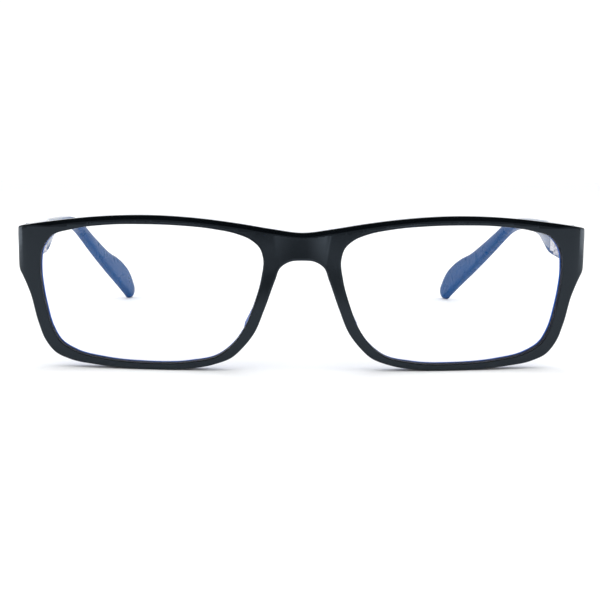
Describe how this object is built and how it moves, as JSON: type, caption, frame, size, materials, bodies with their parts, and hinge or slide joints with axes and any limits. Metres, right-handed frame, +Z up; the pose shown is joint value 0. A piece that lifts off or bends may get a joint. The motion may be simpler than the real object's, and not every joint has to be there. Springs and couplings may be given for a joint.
{
  "type": "blue light glasses",
  "caption": "Full-rim rectangular spectacles with black front, blue inner side, clear coated lenses and temples that fold on barrel hinges.",
  "frame": {"origin": "middle of the footprint of the open glasses, on the plane of the lower rims and temple tips", "axes": "+X toward the wearer's left, the front faces -Y, the open temples run back along +Y, +Z up"},
  "size_m": [0.1384, 0.1393, 0.0374],
  "materials": {
    "front_black": "polished black, slight blue cast",
    "lining_blue": "polished deep blue",
    "lens_clear": "clear resin with a faint blue-violet reflecting coat",
    "hinge_steel": "tumbled bright steel",
    "screw_steel": "turned steel",
    "temple_blue": "satin blue",
    "skin_black": "polished black"
  },
  "bodies": {
    "front": {"front_frame": "front_black", "front_lining": "lining_blue", "nose_pad_left": "lining_blue", "nose_pad_right": "lining_blue", "lens_left": "lens_clear", "lens_right": "lens_clear", "front_hinge_left": "hinge_steel", "front_hinge_right": "hinge_steel", "hinge_screw_left": "screw_steel", "hinge_screw_right": "screw_steel"},
    "left_temple": {"temple_left": "temple_blue", "temple_skin_left": "skin_black", "temple_hinge_left": "hinge_steel", "leaf_screws_left": "screw_steel"},
    "right_temple": {"temple_right": "temple_blue", "temple_skin_right": "skin_black", "temple_hinge_right": "hinge_steel", "leaf_screws_right": "screw_steel"}
  },
  "joints": [
    {"name": "fold_left", "type": "hinge", "parent": "front", "child": "left_temple", "pos_m": [0.06455, -0.05565, 0.0304], "axis": [0, 0, 1], "range_deg": [0, 86]},
    {"name": "fold_right", "type": "hinge", "parent": "front", "child": "right_temple", "pos_m": [-0.06455, -0.05565, 0.0304], "axis": [0, 0, -1], "range_deg": [0, 80]}
  ]
}
